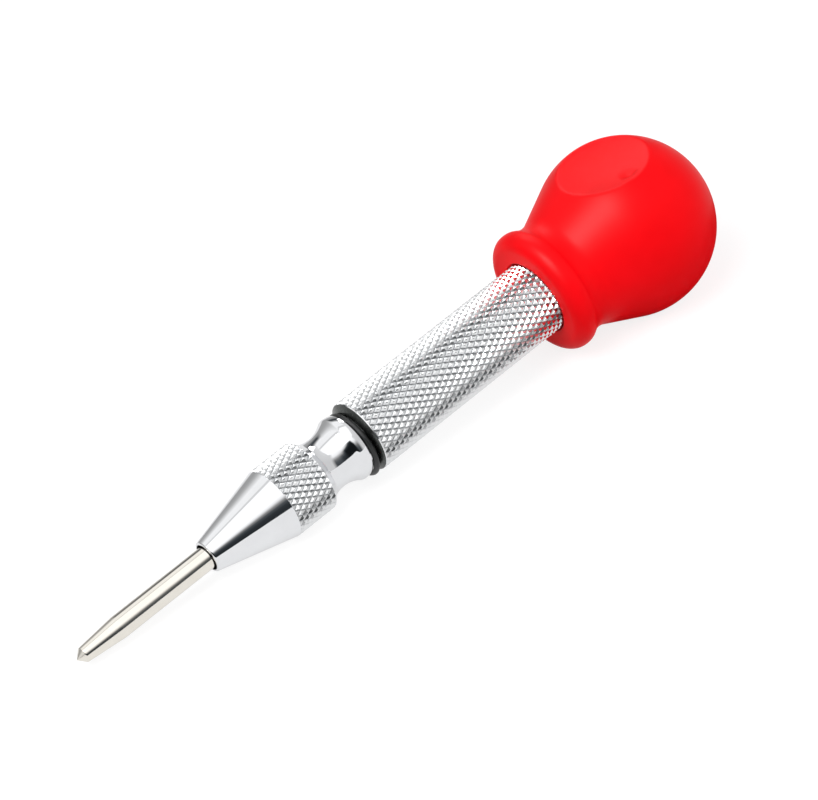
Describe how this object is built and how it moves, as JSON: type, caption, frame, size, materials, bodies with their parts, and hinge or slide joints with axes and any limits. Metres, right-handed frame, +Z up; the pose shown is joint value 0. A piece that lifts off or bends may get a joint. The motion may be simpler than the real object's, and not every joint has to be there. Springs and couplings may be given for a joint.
{
  "type": "automatic center punch",
  "caption": "Spring-loaded center punch with a steel point, chromed nose, knurled barrel and red palm cap; pushing the cap cocks the hammer inside.",
  "frame": {"origin": "centre of the bounding box's footprint, on the table that the tool lies on", "axes": "+Z up from the table; +X from the point towards the palm cap, along the tool's length; +Y across the tool"},
  "size_m": [0.1358, 0.0304, 0.0274],
  "materials": {
    "punch_steel": "polished, warm nickel tone",
    "nose_chrome": "mirror chrome",
    "seal_rubber": "matt black",
    "barrel_chrome": "satin chrome over a diamond knurl",
    "spring_steel": "drawn spring wire",
    "bush_steel": "turned",
    "pin_steel": "ground",
    "hammer_steel": "turned and hardened",
    "seat_steel": "turned",
    "screw_steel": "turned",
    "cap_rubber": "satin moulded red"
  },
  "bodies": {
    "housing": {"nose_piece": "nose_chrome", "seal_ring": "seal_rubber", "barrel": "barrel_chrome", "trip_bush": "bush_steel", "return_spring": "spring_steel", "main_spring": "spring_steel"},
    "punch": {"punch": "punch_steel"},
    "trip": {"trip_pin": "pin_steel"},
    "hammer": {"hammer": "hammer_steel"},
    "seat": {"spring_seat": "seat_steel"},
    "tension": {"tension_screw": "screw_steel", "palm_cap": "cap_rubber"}
  },
  "joints": [
    {"name": "punch_stroke", "type": "slide", "parent": "housing", "child": "punch", "axis": [0.9958, 0, 0.0915], "range_m": [0, 0.008], "stiffness_N_per_m": 9800, "springref_m": -0.00005, "deforming": ["return_spring"]},
    {"name": "trip_centre", "type": "slide", "parent": "punch", "child": "trip", "axis": [0, -1, 0], "range_m": [0, 0.0006]},
    {"name": "hammer_lift", "type": "slide", "parent": "housing", "child": "hammer", "axis": [0.9958, 0, 0.0915], "range_m": [0, 0.008], "deforming": ["main_spring"]},
    {"name": "tension_feed", "type": "slide", "parent": "housing", "child": "seat", "axis": [0.9958, 0, 0.0915], "range_m": [0, 0.003]},
    {"name": "tension_turn", "type": "hinge", "parent": "seat", "child": "tension", "pos_m": [0.05063, 0, 0.01348], "axis": [0.9958, 0, 0.0915], "range_deg": [0, 1080]}
  ],
  "couplings": [
    {"joint": "trip_centre", "follows": "punch_stroke", "ratio": 0.075},
    {"joint": "hammer_lift", "follows": "punch_stroke", "ratio": 1},
    {"joint": "tension_turn", "follows": "tension_feed", "rad_per_m": 6283.2}
  ]
}
